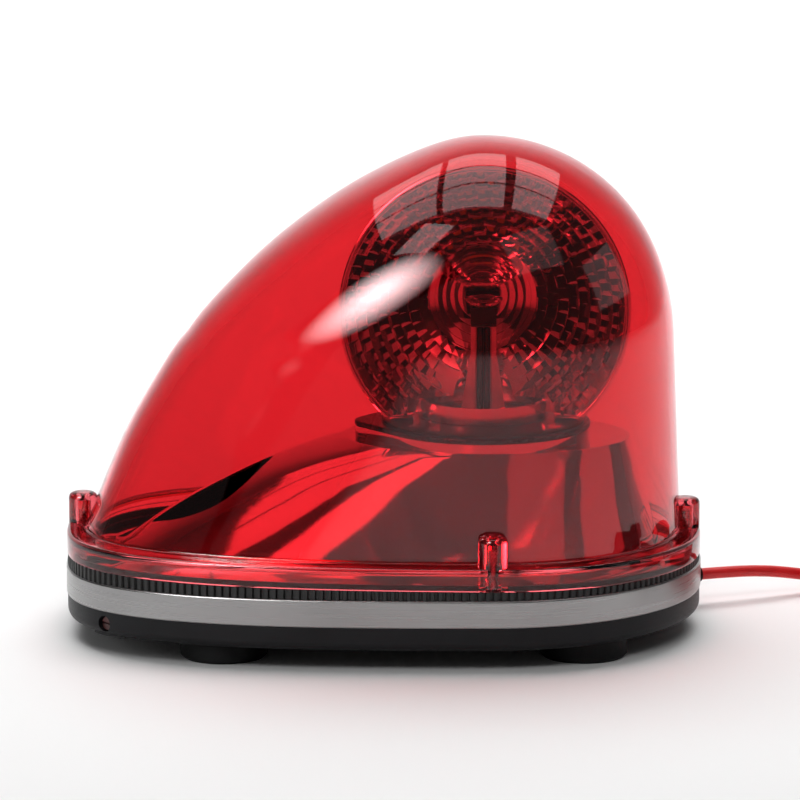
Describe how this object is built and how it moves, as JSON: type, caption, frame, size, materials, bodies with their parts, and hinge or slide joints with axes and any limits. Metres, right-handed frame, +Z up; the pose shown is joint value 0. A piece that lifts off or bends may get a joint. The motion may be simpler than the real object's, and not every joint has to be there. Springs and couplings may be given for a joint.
{
  "type": "rotating beacon",
  "caption": "Low streamlined rotating beacon on magnet feet, with a red teardrop lens over a turning parabolic reflector, and a lead with a plug.",
  "frame": {"origin": "middle of the footprint of the housing and lens, on the surface that the feet stand on", "axes": "+X to the rear, where the lead leaves, -X to the pointed nose, +Z up along the rotor axis"},
  "size_m": [0.3789, 0.1726, 0.1911],
  "materials": {
    "black_rubber": "matt moulded rubber",
    "steel": "zinc-plated pressed steel",
    "ferrite": "dark grey sintered ferrite",
    "steel_screw": "zinc-plated screws",
    "lock_screw": "dull red-brown moulded screw",
    "housing": "black fine-textured moulding",
    "band": "bright metallised trim",
    "seal": "matt black ribbed rubber",
    "plate": "black moulded plate",
    "lens": "transparent red moulding",
    "shroud": "metallised moulding",
    "case": "black moulding",
    "gear": "natural acetal",
    "bush": "sintered bronze",
    "motor": "plated drawn can",
    "armature": "dark laminated steel",
    "turntable": "black moulding with a bright collar",
    "reflector": "faceted metallised reflector",
    "tube": "turned aluminium",
    "post": "die-cast heat sink",
    "board": "green solder mask",
    "chip": "yellow phosphor",
    "clear": "clear optic",
    "parts": "black component cases",
    "connector": "off-white moulding",
    "cord": "red PVC jacket",
    "plug": "black moulding",
    "contact": "nickel-plated contact"
  },
  "bodies": {
    "beacon": {"magnet_boots": "black_rubber", "magnet_cups": "steel", "magnet_rings": "ferrite", "magnet_screws": "steel_screw", "magnet_nuts": "steel_screw", "lower_housing": "housing", "side_screw": "lock_screw", "trim_band": "band", "ribbed_seal": "seal", "chassis_plate": "plate", "chassis_screws": "steel_screw", "case_screws": "steel_screw", "lens_cover": "lens", "lens_screws": "steel_screw", "drive_case": "case", "drive_case_lid": "case", "motor_can": "motor", "motor_magnets": "ferrite", "motor_end_bell": "plate", "motor_screws": "steel_screw", "post_tube": "tube", "retaining_ring": "steel", "lamp_post": "post", "lamp_socket": "plate", "led_board": "board", "led_chip": "chip", "led_lens": "clear", "inner_shroud": "shroud", "shroud_screws": "steel_screw", "board_standoffs": "tube", "driver_board": "board", "board_screws": "steel_screw", "board_parts": "parts", "board_connector": "connector", "cord_grommet": "black_rubber", "inner_lead": "cord", "terminal_block": "connector", "power_cord": "cord", "cord_coil": "cord", "cord_tail": "cord", "plug_relief": "plug", "plug_body": "plug", "plug_cap": "plug", "plug_contacts": "contact"},
    "rotor": {"ring_gear": "gear", "hub_bush": "bush", "turntable": "turntable", "turntable_screws": "steel_screw", "reflector": "reflector", "reflector_bracket": "steel", "bracket_screws": "steel_screw"},
    "motor_rotor": {"drive_pinion": "gear", "motor_shaft": "steel_screw", "motor_armature": "armature"},
    "tip": {"plug_tip": "contact"}
  },
  "joints": [
    {"name": "reflector_spin", "type": "hinge", "parent": "beacon", "child": "rotor", "pos_m": [0.0382, 0, 0.081], "axis": [0, 0, 1], "continuous": true},
    {"name": "motor_spin", "type": "hinge", "parent": "beacon", "child": "motor_rotor", "pos_m": [-0.002, 0, 0.06], "axis": [0, 0, 1], "continuous": true},
    {"name": "plug_tip_press", "type": "slide", "parent": "beacon", "child": "tip", "axis": [0, 1, 0], "range_m": [0, 0.0025], "stiffness_N_per_m": 800}
  ],
  "couplings": [
    {"joint": "motor_spin", "follows": "reflector_spin", "ratio": -6.4444}
  ]
}
